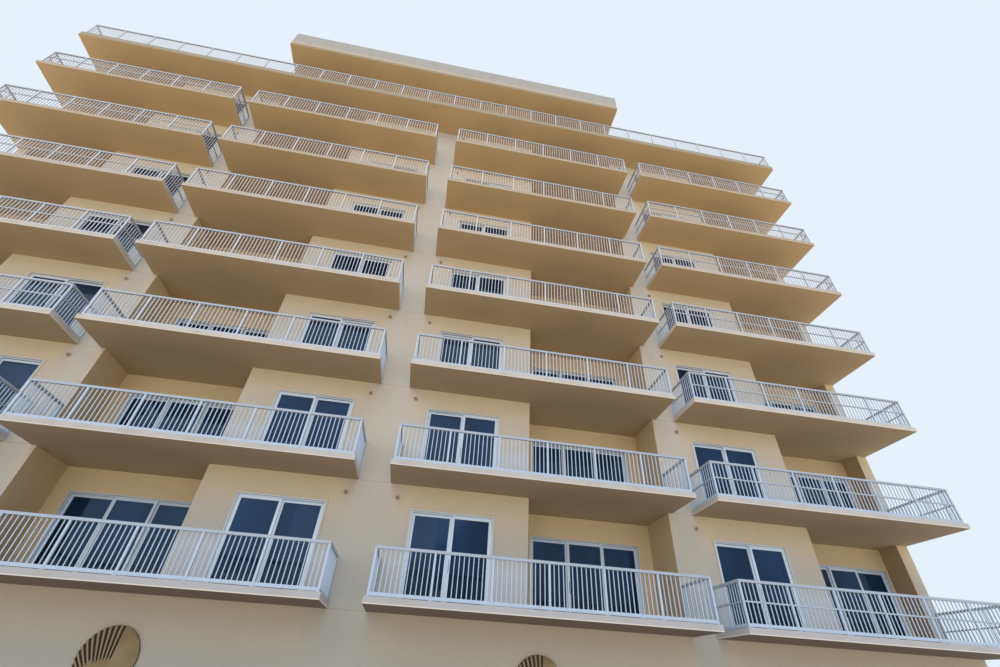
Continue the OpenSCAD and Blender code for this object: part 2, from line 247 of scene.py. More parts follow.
def makeStucco():
    p = Paint("stucco")
    x, y, z = p.xyz
    height, across, reach = p.storeyHeight(), p.maths("ABSOLUTE", x), stucco["reach"]
    # the warm light from the balconies' undersides reaches the front walls only, between the gaps
    gap = across.between(*stucco["gapStartX"]) * across.between(*stucco["gapEndX"])
    topSide = (z > block["terraceZ"]) * (across > block["penthouseSide"] - reach)
    inFront = (y < block["recessY"] + reach) * (across < block["halfWidth"] - reach) * (1 - topSide)
    roofed = across.between(*stucco["middleX"]) * (1 - gap) * inFront
    mottle = p.noise(stucco["patches"], 5, (1, 1, 0.6)).between(0.3, 0.8)
    base = p.mix(stucco["cream"], stucco["pale"], mottle)
    # painted shade and light: greyer and darker towards the ground, lighter high up
    base = p.mix(base, stucco["low"], z.between(*stucco["lowZ"]) * stucco["lowShare"])
    base = p.mix(base, stucco["high"], z.between(*stucco["highZ"]) * stucco["highShare"])
    warm = p.mix(stucco["warm"], stucco["warmHigh"], z.between(*stucco["warmZ"]))
    share = stucco["warmLeast"] + z.between(*stucco["strongerZ"]) * stucco["warmMore"]
    base = p.mix(base, warm, height.between(*stucco["warmHeight"]) * roofed * share)
    # low on the front walls, behind the railings, the sky's cooler light shows
    inside = y > block["wallY"] + 2 * reach
    railed = height.between(*stucco["coolHeight"]) * roofed * (1 - inside) * (z > block["ground"])
    base = p.mix(base, stucco["cool"], railed * stucco["coolShare"])
    inRecess = inFront * inside * (across < block["endWallX"] + reach / 2)
    # painted warm light in the recesses, stronger higher in each storey and in the upper storeys
    deeper = stucco["recessLeast"] + height.between(*stucco["recessHeight"]) * stucco["recessHigher"]
    deeper = deeper + z.between(*stucco["recessZ"]) * stucco["recessUpper"]
    base = p.mix(base, stucco["recess"], inRecess * deeper)
    # the recesses' side walls lie in shade, and so do the outer recesses
    sideways, outer = p.maths("ABSOLUTE", p.facing((1, 0, 0))) > 0.5, across > stucco["outerX"]
    shade = sideways * (stucco["sideShade"] + outer * stucco["outerSideShade"]) + outer * stucco["outerShade"]
    shade = shade * (1 - z.between(*stucco["shadeZ"]) * stucco["shadeFade"])
    base = p.mix(base, stucco["side"], inRecess * shade)
    runs = p.noise(1.0, 4, (4, 4, 0.35)).between(0.5, 0.8) * height.between(*stucco["runHeight"])
    base = p.mix(base, stucco["stain"], runs * stucco["runShare"])
    joint = height < stucco["jointHeight"]         # a movement joint at the underside of each slab
    base = p.mix(base, stucco["joint"], joint * stucco["jointShare"])
    splash = z.between(*stucco["splashZ"]) * p.noise(2.5, 4).between(0.3, 0.7)
    base = p.mix(base, stucco["stain"], splash * stucco["splashShare"])
    grain = p.noise(stucco["grain"], 6)
    base = p.mix(base, stucco["stain"], grain.between(0.62, 0.75) * stucco["speckShare"])
    relief = grain + p.noise(9, 3) * 2 - joint * 3
    return p.finish(Base_Color=base, Roughness=stucco["rough"] + grain * 0.1,
                    Normal=p.bump(relief, stucco["grainDepth"], 0.7))


# Slabs: white painted edges, soffits painted a darker, warmer tan than the walls as painted shade and warm
# light from the ground, growing lighter upwards as painted light, tiles or roofing on top
slabPaint = {
    "edgeLow": colour(174, 175, 181), "edge": colour(199, 192, 184), "edgeHigh": colour(180, 163, 141),
    "edgeTop": colour(155, 141, 116), "edgeDirt": colour(160, 148, 130), "lip": colour(216, 210, 200),
    "soffitLowest": colour(104, 88, 78), "soffitLow": colour(152, 132, 108),
    "soffitHigh": colour(206, 170, 121), "soffitStain": colour(128, 104, 72),
    "tile": colour(188, 180, 166), "grout": colour(140, 134, 124),
    "roofing": colour(172, 168, 160), "chippings": colour(206, 202, 194),
    "soffitZ": (2.5, 24), "lowestZ": (6.2, 3.1), "wallLightY": (-6.2, -4.2), "wallLightShare": 0.3,
    "stainShare": 0.14, "edgeZ": (2, 10), "edgeHighZ": (10, 21), "edgeTopZ": (23.5, 25), "dirtShare": 0.3,
    "lipHeight": 0.022, "tileSize": 0.3, "groutWidth": 0.012, "sheetWidth": 1.05, "lapShare": 0.03,
    "tileDirtShare": 0.5, "lapTone": 0.5, "puddleShare": 0.4, "grain": 60, "grainDepth": 0.003, "rough": 0.8,
}


def makeSlabPaint(name, topIsTiled):
    p = Paint(name)
    x, y, z = p.xyz
    facing, mottle = p.facing(), p.noise(0.7, 5)
    # painted shade on the undersides: a tan that grows lighter upwards and is darkest over the lowest row
    soffit = p.mix(slabPaint["soffitLow"], slabPaint["soffitHigh"], z.between(*slabPaint["soffitZ"]))
    soffit = p.mix(soffit, slabPaint["soffitLowest"], z.between(*slabPaint["lowestZ"]))
    wallLight = y.between(*slabPaint["wallLightY"]) * slabPaint["wallLightShare"]
    soffit = p.mix(soffit, stucco["recess"], wallLight)      # warm light from the walls
    soffit = p.mix(soffit, slabPaint["soffitStain"], mottle.between(0.52, 0.8) * slabPaint["stainShare"])
    runs = p.noise(2.2, 4, (1, 1, 0.2)).between(0.45, 0.8)
    # painted sky light makes the edges bluish low down; higher up and at the top they grow darker and warmer
    edge = p.mix(slabPaint["edgeLow"], slabPaint["edge"], z.between(*slabPaint["edgeZ"]))
    edge = p.mix(edge, slabPaint["edgeHigh"], z.between(*slabPaint["edgeHighZ"]))
    edge = p.mix(edge, slabPaint["edgeTop"], z.between(*slabPaint["edgeTopZ"]))
    edge = p.mix(edge, slabPaint["edgeDirt"], runs * slabPaint["dirtShare"])
    if topIsTiled:
        edge = p.mix(edge, slabPaint["lip"], p.storeyHeight() < slabPaint["lipHeight"])
        gap = slabPaint["groutWidth"] / slabPaint["tileSize"]
        lines = [(axis / slabPaint["tileSize"]) % 1.0 for axis in (x, y)]
        joint = p.maths("MAXIMUM", lines[0] < gap, lines[1] < gap)
        dirt = p.noise(1.3, 4) * slabPaint["tileDirtShare"]
        top = p.mix(slabPaint["tile"], slabPaint["edgeDirt"], dirt)
        top = p.mix(top, slabPaint["grout"], joint)
    else:
        joint = (x / slabPaint["sheetWidth"]) % 1.0 < slabPaint["lapShare"]      # laps of the roofing sheets
        top = p.mix(slabPaint["roofing"], slabPaint["chippings"], p.noise(40, 4).between(0.45, 0.6))
        puddles = p.noise(0.5, 5).between(0.5, 0.75) * slabPaint["puddleShare"]
        top = p.mix(top, slabPaint["grout"], joint * slabPaint["lapTone"] + puddles)
    # faces that look down take the soffit's painted shade, faces that look up the tiles or roofing
    base = p.mix(p.mix(edge, soffit, facing < -0.5), top, facing > 0.5)
    relief = p.noise(slabPaint["grain"], 5) + p.noise(5, 3) - joint * (facing > 0.5) * 2
    return p.finish(Base_Color=base, Roughness=slabPaint["rough"] + mottle * 0.15,
                    Normal=p.bump(relief, slabPaint["grainDepth"], 0.6))


# Roof band: pale grey paint, warmer along its foot, with run marks and a joint every few metres
fasciaPaint = {
    "face": colour(171, 167, 163), "low": colour(192, 177, 154), "runs": colour(150, 142, 130),
    "lowZ": (29.2, 28.95), "runShare": 0.3, "joint": 3.58, "jointWidth": 0.012,
    "grain": 60, "grainDepth": 0.003, "rough": 0.82,
}


def makeFasciaPaint():
    p = Paint("fascia paint")
    x, z = p.xyz[0], p.xyz[2]
    runs = p.noise(1.0, 5, (3, 3, 0.4)).between(0.45, 0.8)
    joint = (x / fasciaPaint["joint"]) % 1.0 < fasciaPaint["jointWidth"] / fasciaPaint["joint"]
    base = p.mix(fasciaPaint["face"], fasciaPaint["low"], z.between(*fasciaPaint["lowZ"]))
    base = p.mix(base, fasciaPaint["runs"], p.maths("MAXIMUM", runs * fasciaPaint["runShare"], joint))
    grain = p.noise(fasciaPaint["grain"], 5)
    return p.finish(Base_Color=base, Roughness=fasciaPaint["rough"] + grain * 0.1,
                    Normal=p.bump(grain - joint * 3, fasciaPaint["grainDepth"], 0.6))


# Railings and frames: satin white paint that greys towards the floor, bluish in the lower storeys as painted
# sky light. The rails are painted darker than the posts and bars as painted shade, and so are the faces
# that look down.
whitePaint = {
    "under": colour(146, 138, 128), "grime": colour(158, 158, 154), "worn": colour(176, 176, 175),
    "railShade": colour(148, 156, 167),
    "highZ": (5, 18), "grimeHeight": (0.55, 0.15), "grimeShare": 0.45, "wornShare": 0.35,
    "dustAndShadeShare": 0.75, "topRail": (1.15, 1.225), "middleRail": (0.695, 0.742), "outerX": 9.4,
    "brushMarks": 180, "markDepth": 0.0006,
}
whitePaints = {
    "rail_paint": {"name": "rail paint", "white": colour(178, 197, 223), "high": colour(198, 201, 209),
                   "rough": 0.32, "railShade": 0.55},
    "frame_paint": {"name": "frame paint", "white": colour(215, 231, 250), "high": colour(224, 225, 226),
                    "rough": 0.38, "railShade": 0.0},
}


def makeWhitePaint(name, white, high, rough, railShade):
    p = Paint(name)
    x, z = p.xyz[0], p.xyz[2]
    height, outer = p.storeyHeight(), p.maths("ABSOLUTE", x) > whitePaint["outerX"]
    spots = p.noise(14, 4).between(0.5, 0.75)
    wear = p.noise(3.0, 5, (1, 1, 0.3)).between(0.55, 0.85)
    grime = height.between(*whitePaint["grimeHeight"]) * spots
    # painted sky light: bluish white in the lower storeys, plainer white higher up
    base = p.mix(white, high, z.between(*whitePaint["highZ"]))
    base = p.mix(base, whitePaint["grime"], grime * whitePaint["grimeShare"])
    base = p.mix(base, whitePaint["worn"], wear * whitePaint["wornShare"])
    # painted shade on the top rail, and on the middle rail of the outer balconies below the terrace
    topRail, middleRail = [(height > low) * (height < top) for low, top in
                           (whitePaint["topRail"], whitePaint["middleRail"])]
    rails = topRail + middleRail * outer * (z < block["terraceZ"])
    base = p.mix(base, whitePaint["railShade"], rails * railShade)
    # painted shade: faces that look down are painted darker
    base = p.mix(base, whitePaint["under"], (p.facing() < -0.5) * whitePaint["dustAndShadeShare"])
    return p.finish(Base_Color=base, Roughness=rough + spots * 0.15,
                    Normal=p.bump(p.noise(whitePaint["brushMarks"], 2), whitePaint["markDepth"], 0.4))


# Glass: dark blue, a little lighter towards the head and from pane to pane as a painted reflection of the
# sky, and darker and greyer in the upper storeys
glassPaint = {
    "deep": colour(17, 34, 60), "head": colour(34, 67, 108), "high": colour(30, 36, 44),
    "dust": colour(96, 100, 104), "tint": (0.35, 0.6, 1.0, 1), "wave": 0.002, "clear": 0.62,
    "headHeight": (0.3, 2.3), "highZ": (7, 15), "highShare": 0.6, "dustHeight": (0.6, 0.15),
    "dustAndShadeShare": 0.35, "headLeast": 0.4, "headMore": 0.6, "paneChange": 1.4, "rough": 0.04,
}


def makeGlass():
    p = Paint("glass")
    x, z = p.xyz[0], p.xyz[2]
    height = p.storeyHeight()
    level = p.maths("FLOOR", (z - block["ground"]) / block["storey"])
    spot = p.add("CombineXYZ", {}, {0: x * 0.5, 1: level * 7.3, 2: level * 3.1})
    change = p.add("TexNoise", {}, {"Vector": spot, "Scale": glassPaint["paneChange"], "Detail": 1})
    # painted reflection: lighter towards the head, by a share that changes from pane to pane
    share = glassPaint["headLeast"] + change.between(0.35, 0.65) * glassPaint["headMore"]
    head = height.between(*glassPaint["headHeight"]) * share
    base = p.mix(glassPaint["deep"], glassPaint["head"], head)
    base = p.mix(base, glassPaint["high"], z.between(*glassPaint["highZ"]) * glassPaint["highShare"])
    dust = p.noise(7, 4).between(0.5, 0.8)
    low = height.between(*glassPaint["dustHeight"])
    base = p.mix(base, glassPaint["dust"], dust * low * glassPaint["dustAndShadeShare"])
    return p.finish(Base_Color=base, Roughness=glassPaint["rough"] + dust * 0.08, IOR=1.5,
                    Alpha=glassPaint["clear"], Specular_Tint=glassPaint["tint"],
                    Normal=p.bump(p.noise(1.6, 2), glassPaint["wave"], 0.5))


# Cast medallions: tan stone, lighter over the fluted fan, with its grooves and the edge of its disc painted
# dark as painted shade
shellPaint = {
    "tan": colour(132, 116, 82), "pale": colour(148, 133, 100), "rib": colour(160, 148, 130),
    "groove": colour(58, 42, 22), "rim": colour(60, 50, 38), "ribShare": 0.5, "poreShare": 0.35,
    "grooveShare": 0.95, "pores": 48, "poreDepth": 0.003, "rough": 0.85,
}


def makeShellPaint():
    p = Paint("cast shell")
    depth = p.add("Attribute", {"attribute_name": "grooveDepth"}, output="Fac")
    fan = p.add("Attribute", {"attribute_name": "fanShare"}, output="Fac")
    pores = p.noise(shellPaint["pores"], 5)
    base = p.mix(shellPaint["tan"], shellPaint["pale"], p.noise(3, 4).between(0.35, 0.7))
    base = p.mix(base, shellPaint["rib"], fan * shellPaint["ribShare"])
    # painted shade on the edge of the disc, whose faces turn away from the front
    base = p.mix(base, shellPaint["rim"], p.facing((0, -1, 0)).between(0.6, 0.2))
    # painted shade in the grooves, darker the deeper they are
    base = p.mix(base, shellPaint["groove"], depth.between(0.15, 0.7) * shellPaint["grooveShare"])
    base = p.mix(base, shellPaint["groove"], pores.between(0.62, 0.72) * shellPaint["poreShare"])
    return p.finish(Base_Color=base, Roughness=shellPaint["rough"],
                    Normal=p.bump(pores, shellPaint["poreDepth"], 0.7))


# Small finishes: a tone that goes towards a darker one in spots of a given scale, with a fine grain
smallPaints = {
    "light_paint": {"name": "light paint", "tone": colour(188, 168, 140), "dark": colour(156, 134, 106),
                    "scale": 30, "rough": 0.5},
    "lamp": {"name": "lamp glass", "tone": colour(148, 124, 95), "dark": colour(120, 98, 72),
             "scale": 25, "rough": 0.25},
    "rubber": {"name": "rubber", "tone": colour(40, 41, 44), "dark": colour(22, 22, 24),
               "scale": 40, "rough": 0.6},
    "steel": {"name": "steel", "tone": colour(168, 170, 172), "dark": colour(120, 118, 114),
              "scale": 60, "rough": 0.3, "metal": 0.9},
}


def makeSpotted(name, tone, dark, scale, rough, metal=0.0):
    p = Paint(name)
    spots = p.noise(scale, 4)
    return p.finish(Base_Color=p.mix(tone, dark, spots.between(0.4, 0.75) * 0.6), Metallic=metal,
                    Roughness=rough + spots * 0.15, Normal=p.bump(p.noise(scale * 6, 3), 0.001, 0.4))


# Blinds: off-white woven slats, yellowed in patches
blindCloth = {
    "new": colour(226, 220, 206), "old": colour(204, 194, 174), "thread": colour(176, 168, 152),
    "threads": 700, "threadShare": 0.3, "threadDepth": 0.0008, "rough": 0.9,
}


def makeBlindCloth():
    p = Paint("blind cloth")
    x, y, z = p.xyz
    weave = [p.maths("SINE", axis * blindCloth["threads"]) for axis in (x + y, z)]
    thread = weave[0] * weave[1] * 0.5 + 0.5
    base = p.mix(blindCloth["new"], blindCloth["old"], p.noise(1.1, 3).between(0.35, 0.7))
    base = p.mix(base, blindCloth["thread"], thread * blindCloth["threadShare"])
    return p.finish(Base_Color=base, Roughness=blindCloth["rough"],
                    Normal=p.bump(thread, blindCloth["threadDepth"], 0.5))


def makePaints():
    paints = {
        "stucco": makeStucco(),
        "slab_paint": makeSlabPaint("slab paint", True),
        "roof": makeSlabPaint("roof paint", False),
        "fascia": makeFasciaPaint(),
        "glass": makeGlass(),
        "cast_shell": makeShellPaint(),
        "blind": makeBlindCloth(),
    }
    for slotName, values in whitePaints.items():
        paints[slotName] = makeWhitePaint(**values)
    for slotName, values in smallPaints.items():
        paints[slotName] = makeSpotted(**values)
    print("mixed", len(paints), "paints")
    return paints


# Gives each node of the block its paint: that of its slot, but its own on the roof
def dressNodes(paints):
    slots = {part["node"]: part["material_slot"] for part in frame["record"]["subparts"]}
    special = {"roof_slab": "roof", "parapet_front_and_rear": "fascia", "parapet_sides": "fascia"}
    for name, node in frame["nodes"].items():
        for place in node.material_slots:
            place.material = paints[special.get(name, slots[name])]
    print("dressed", len(frame["nodes"]), "nodes of the block")


# Makes a mesh object from points and lists of faces, and rides it on the block
def makePiece(name, shape, material, smooth=False, replaced=None):
    points, faces = shape
    mesh = bpy.data.meshes.new(name)
    mesh.from_pydata(points.tolist(), [], faces)
    mesh.polygons.foreach_set("use_smooth", np.full(len(mesh.polygons), smooth))
    mesh.materials.append(material)
    mesh.update()
    piece = link(name, mesh)
    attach(piece, "root")
    if replaced:
        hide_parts(replaced)
    print("made", name, "of", len(mesh.polygons), "faces")
    return piece


# Points on paths, rings and places in a ring. Rings that follow each other on a path are joined by
# quads, and an open path gets a cap at each end.
def joinRings(points, closed=False):
    index = np.arange(points.size // 3).reshape(points.shape[:3])
    near = index if closed else index[:, :-1]
    far = np.roll(index, -1, axis=1)[:, :near.shape[1]]
    quads = np.stack([near, np.roll(near, -1, axis=2), np.roll(far, -1, axis=2), far], axis=-1)
    faces = quads.reshape(-1, 4).tolist()
    if not closed:
        faces += index[:, 0, ::-1].tolist() + index[:, -1].tolist()
    return points.reshape(-1, 3), faces


# A profile carried along paths. The outline holds points (a, b), counter-clockwise seen from the
# path's end, and each corner of a path gives the ring corner + a * side + b * across.
def carry(outline, corners, sides, across, closed=False):
    outline, corners = np.asarray(outline, float), np.asarray(corners, float)
    sides, across = np.asarray(sides, float), np.asarray(across, float)
    a, b = outline[:, :1], outline[:, 1:]
    return joinRings(corners[:, :, None] + a * sides[..., None, :] + b * across[..., None, :], closed)


# Straight bars from each start to its end, the profile's first axis along side
def bars(outline, starts, ends, side):
    starts, ends = np.asarray(starts, float), np.asarray(ends, float)
    side = np.broadcast_to(np.asarray(side, float), starts.shape)
    along = (ends - starts) / np.linalg.norm(ends - starts, axis=1, keepdims=True)
    return carry(outline, np.stack([starts, ends], axis=1), side[:, None], np.cross(along, side)[:, None])


# A profile carried round upright rectangles, mitred at the corners, or up, over and down only.
# In it, a is the distance out from the rectangle and b the distance in front of its face. The face
# looks towards -Y where x0 is less than x1, and towards +Y where it is more.
def surround(outline, x0, x1, y, z0, z1, closed=True):
    x0, x1, y, z0, z1 = np.broadcast_arrays(x0, x1, y, z0, z1)
    turn = np.sign(x1 - x0)
    xs, zs = np.stack([x0, x0, x1, x1], axis=1), np.stack([z0, z1, z1, z0], axis=1)
    corners = np.stack([xs, np.broadcast_to(y[:, None], xs.shape), zs], axis=2)
    foot = 1 if closed else 0
    sides = turn[:, None, None] * np.array([(-1, 0, 0), (-1, 0, 0), (1, 0, 0), (1, 0, 0)])
    sides = sides + np.array([(0, 0, -foot), (0, 0, 1), (0, 0, 1), (0, 0, -foot)])
    across = np.stack([x0 * 0, -turn, x0 * 0], axis=1)[:, None]
    return carry(outline, corners, sides, across, closed)


# Several shapes as one
def join(*shapes):
    faces, base = [], 0
    for points, some in shapes:
        faces += [[corner + base for corner in face] for face in some]
        base += len(points)
    return np.concatenate([points for points, some in shapes]), faces


# The shape and its mirror image across the middle of the block
def bothHalves(shape):
    points, faces = shape
    return join(shape, (points * (-1, 1, 1), [face[::-1] for face in faces]))


# Outlines to carry: a rectangle whose middle lies b in front, and an even polygon
def rectangle(width, depth, b=0.0):
    a = width / 2
    return [(-a, b - depth / 2), (a, b - depth / 2), (a, b + depth / 2), (-a, b + depth / 2)]


def polygon(count, radius=1.0):
    turns = (np.arange(count) + 0.5) * 2 * pi / count
    return np.stack([np.cos(turns), np.sin(turns)], axis=1) * radius


# Arrays and numbers side by side, one row for each item
def columns(*values):
    return np.stack(np.broadcast_arrays(*values), axis=-1).astype(float)


railing = {
    "inset": 0.08, "post": 0.05, "pitch": 1.42, "barSpacing": 0.117, "bar": 0.02,
    "barFoot": 0.085, "barHead": 1.02, "foot": 0.105, "footThickness": 0.008,
    "bolt": 0.009, "boltSides": 6, "boltHeight": 0.016, "boltOut": 0.038, "tiny": 1e-9, "sameSpot": 4,
}


# Centres of the posts of a straight run, on the floor, and of its bars: the run is divided into the
# fewest bays no longer than the pitch, and each bay evenly by the bars nearest to their spacing
def runPoints(start, end):
    start, end = np.asarray(start, float), np.asarray(end, float)
    length = np.linalg.norm(end - start)
    bays = int(np.ceil(length / railing["pitch"] - railing["tiny"]))
    steps = round(length / bays / railing["barSpacing"])
    shares = np.arange(bays * steps + 1) / (bays * steps)
    centres = start + shares[:, None] * (end - start)
    isPost = np.arange(len(centres)) % steps == 0
    return centres[isPost], centres[~isPost]


# Start and end of each straight run of one half, at a row of balconies and round the terrace
def balconyRuns(row):
    z, inset, half = floorZ(row), railing["inset"], railing["post"] / 2
    y = block["frontY"] + inset
    runs = []
    for x0, x1, outerY in ((block["middleGap"], block["innerEnd"], block["wallY"]),
                           (block["outerStart"], block["halfWidth"], block["endY"])):
        runs.append(((x0 + inset, y, z), (x1 - inset, y, z)))
        runs.append(((x0 + inset, block["wallY"] - half, z), (x0 + inset, y, z)))
        runs.append(((x1 - inset, outerY - half, z), (x1 - inset, y, z)))
    return runs


def terraceRuns():
    z, inset = floorZ(block["rows"] + 1), railing["inset"]
    x, y = block["halfWidth"] - inset, block["rearY"] - inset
    inner = block["penthouseSide"] + railing["post"] / 2
    return [((0, -y, z), (x, -y, z)), ((x, -y, z), (x, y, z)), ((inner, y, z), (x, y, z))]


# Square bars between the CAD's rails, and a plate with four bolts at the foot of each post
def makeRailings(paints):
    up, square = np.array((0, 0, 1.0)), rectangle(railing["bar"], railing["bar"])
    feet = []
    for row in range(1, block["rows"] + 2):
        terrace = row > block["rows"]
        posts, balusters = [], []
        for start, end in terraceRuns() if terrace else balconyRuns(row):
            somePosts, someBars = runPoints(start, end)
            posts.append(somePosts[1:] if start[1] > end[1] or start[1] > 0 else somePosts)
            balusters.append(someBars)
        balusters = np.concatenate(balusters)
        shape = bars(square, balusters + up * railing["barFoot"], balusters + up * railing["barHead"],
                     (1, 0, 0))
        makePiece("terrace_balusters" if terrace else f"balusters_row_{row}", bothHalves(shape),
                  paints["rail_paint"])
        feet.append(np.concatenate(posts))
    feet = np.unique(np.round(np.concatenate(feet), railing["sameSpot"]), axis=0)
    offMiddle = feet[:, 0] > railing["post"] / 2         # the terrace has one post on the middle line
    feet = np.concatenate([feet, feet[offMiddle] * (-1, 1, 1)])
    thick, out = up * railing["footThickness"], railing["boltOut"]
    plates = bars(rectangle(railing["foot"], railing["foot"]), feet, feet + thick, (1, 0, 0))
    makePiece("post_feet", plates, paints["rail_paint"])
    bolts = np.concatenate([feet + (a * out, b * out, 0) for a in (-1, 1) for b in (-1, 1)])
    heads = bars(polygon(railing["boltSides"], railing["bolt"]), bolts + thick,
                 bolts + up * railing["boltHeight"], (1, 0, 0))
    makePiece("foot_bolts", heads, paints["steel"])


door = {
    "height": 2.36, "frame": 0.03, "frameDepth": 0.12, "back": 0.04, "stile": 0.072, "lap": 0.012,
    "sash": 0.044, "glass": 0.024, "trim": 0.022, "trimDepth": 0.012, "casing": 0.08,
    "casingDepth": 0.02, "chamfer": 0.008, "sillRise": 0.028, "sillSlope": 0.6,
    "bead": 0.013, "beadRise": 0.007, "beadEdge": 0.002, "gripZ": 0.85, "gripLength": 0.3,
    "gripOut": 0.036, "gripRadius": 0.008, "gripBend": 0.014, "gripSides": 8,
}


# Every door of one half, as its x from, x to, face y, floor z and panels
def everyDoor():
    found = []
    for row in range(1, block["rows"] + 2):
        for one in doors:
            if row <= block["rows"] or one["terrace"]:
                found.append((one["x"], one["x"] + one["width"], one["y"], floorZ(row), one["panels"]))
    return np.array(found)


# Every sliding panel, as its x from, x to, front y and bottom z, and whether it runs in the front track
def everyPanel():
    found = []
    track = (door["frameDepth"] - 2 * door["sash"]) / 3
    for x0, x1, y, z, panels in everyDoor():
        width = (x1 - x0 - 2 * door["frame"] + (panels - 1) * door["lap"]) / panels
        left = x0 + door["frame"] + np.arange(panels) * (width - door["lap"])
        front = np.arange(panels) % 2
        depth = door["back"] + track + (1 - front) * (track + door["sash"])
        found.append(columns(left, left + width, y + depth, z + door["frame"], front))
    return np.concatenate(found)


# A wedge that slopes from a sill's frame at (0, 0) out to its wall's face
def sillOutline(back, rise, slope):
    return [(0, 0), (0, rise), (-back, rise * slope), (-back, 0)]


def makeDoorTrim(paints):
    x0, x1, y, z = everyDoor().T[:4]
    wide, deep, cut = door["casing"], door["casingDepth"], door["chamfer"]
    # a flat white trim round each door, and a raised stucco band round that, its front edges cut back
    trim, rise = door["trim"], door["trimDepth"]
    flat = [(0, 0), (trim, 0), (trim, rise), (cut / 2, rise), (0, rise - cut / 2)]
    trims = surround(flat, x0, x1, y, z, z + door["height"], closed=False)
    makePiece("door_trims", bothHalves(trims), paints["frame_paint"])
    band = [(trim, 0), (wide, 0), (wide, deep - cut), (wide - cut, deep), (trim + cut / 2, deep),
            (trim, deep - cut / 2)]
    casings = surround(band, x0, x1, y, z, z + door["height"], closed=False)
    makePiece("door_casings", bothHalves(casings), paints["stucco"])
    # sloped sill in front of the frame's foot
    starts, ends = columns(x0, y + door["back"], z), columns(x1, y + door["back"], z)
    sills = bars(sillOutline(door["back"], door["sillRise"], door["sillSlope"]), starts, ends, (0, 1, 0))
    makePiece("door_sills", bothHalves(sills), paints["frame_paint"])

    x0, x1, y, z, front = everyPanel().T
    top = z + door["height"] - 2 * door["frame"]
    stile, rest = door["stile"], (door["sash"] - door["glass"]) / 2
    # glazing bead: a wedge between the stiles' faces and the pane
    wedge = [(0, 0), (0, door["beadRise"]), (-door["bead"], door["beadEdge"]), (-door["bead"], 0)]
    beads = surround(wedge, x0 + stile, x1 - stile, y + rest, z + stile, top - stile)
    makePiece("door_glazing_beads", bothHalves(beads), paints["rubber"])

    # bent pull on the left stile of each panel in the front track, its corners cut at 45 degrees
    x, y, z = (part[front > 0] for part in (x0 + stile / 2, y, z + door["gripZ"]))
    out, length, bend, lean = door["gripOut"], door["gripLength"], door["gripBend"], tan(pi / 8)
    path = np.array([(0, 0, 0), (0, bend - out, 0), (0, -out, bend), (0, -out, length - bend),
                     (0, bend - out, length), (0, 0, length)])
    sides = np.array([(0, 0, -1), (0, -lean, -1), (0, -1, -lean), (0, -1, lean), (0, -lean, 1), (0, 0, 1)])
    corners = columns(x, y, z)[:, None] + path
    pulls = carry(polygon(door["gripSides"], door["gripRadius"]), corners, sides, np.array([(1, 0, 0)]))
    makePiece("door_pulls", bothHalves(pulls), paints["rubber"], smooth=True)


blinds = {
    "behind": 0.2, "rail": 0.05, "railHeight": 0.045, "railAbove": 0.06, "slat": 0.089,
    "slatThickness": 0.003, "slatCurve": 0.009, "spacing": 0.082, "first": 0.06, "foot": 0.03, "turn": 28,
    "leastDrawn": 0.35, "arcPoints": 5,
}


# Vertical slats hang behind three doors in seven, other ones on each half, drawn across a share of
# the opening that goes up from the least one in fifteenths
def makeBlinds(paints):
    everyOne = everyDoor()[:, :4]
    index = np.arange(len(everyOne))
    rails, slats = [], []
    for half, first in ((1, 2), (-1, 0)):
        chosen = everyOne[(index * 5 + first) % 7 < 3]
        shares = blinds["leastDrawn"] + (np.arange(len(chosen)) * 7 % 10) / 15
        for (x0, x1, y, z), share in zip(chosen, shares):
            top = z + door["height"] + blinds["railAbove"]
            back = y + blinds["behind"] + blinds["rail"] / 2
            rails.append((half * x0, half * x1, back, top))
            count = int((x1 - x0) * share / blinds["spacing"])
            places = x0 + blinds["first"] + np.arange(count) * blinds["spacing"]
            slats.append(columns(half * places, back, z + blinds["foot"], top - blinds["railHeight"]))
    rails, slats = np.array(rails), np.concatenate(slats)
    low, high = np.minimum(rails[:, 0], rails[:, 1]), np.maximum(rails[:, 0], rails[:, 1])
    y, top = rails[:, 2], rails[:, 3]
    box = rectangle(blinds["rail"], blinds["railHeight"], b=blinds["railHeight"] / 2)
    makePiece("blind_rails", bars(box, columns(low, y, top), columns(high, y, top), (0, 1, 0)),
              paints["frame_paint"])
    # a slat's outline: an arc and its copy behind it
    arc = np.linspace(-1, 1, blinds["arcPoints"])
    curve = np.stack([arc * blinds["slat"] / 2, blinds["slatCurve"] * (1 - arc ** 2)], axis=1)
    outline = np.concatenate([curve, curve[::-1] + (0, blinds["slatThickness"])])
    turn = radians(blinds["turn"])
    side, tops = (np.cos(turn), np.sin(turn), 0), columns(slats[:, 0], slats[:, 1], slats[:, 3])
    makePiece("blind_slats", bars(outline, slats[:, :3], tops, side), paints["blind"])


window = {
    "width": 1.8, "height": 1.3, "sill": 1.0, "pitch": 4.375, "each": 4, "penthouse": 2,
    "frame": 0.06, "frameDepth": 0.12, "back": 0.04, "glass": 0.024, "bead": 0.016, "beadEdge": 0.004,
    "beadTop": 0.4, "sillRise": 0.03, "sillSlope": 0.5,
}


# Every rear window of one half, as its left x seen from behind and its bottom z
def everyWindow():
    found = []
    for row in range(1, block["rows"] + 2):
        count = window["each"] if row <= block["rows"] else window["penthouse"]
        x = (np.arange(count) + 0.5) * window["pitch"] + window["width"] / 2
        found.append(columns(x, floorZ(row) + window["sill"]))
    return np.concatenate(found)


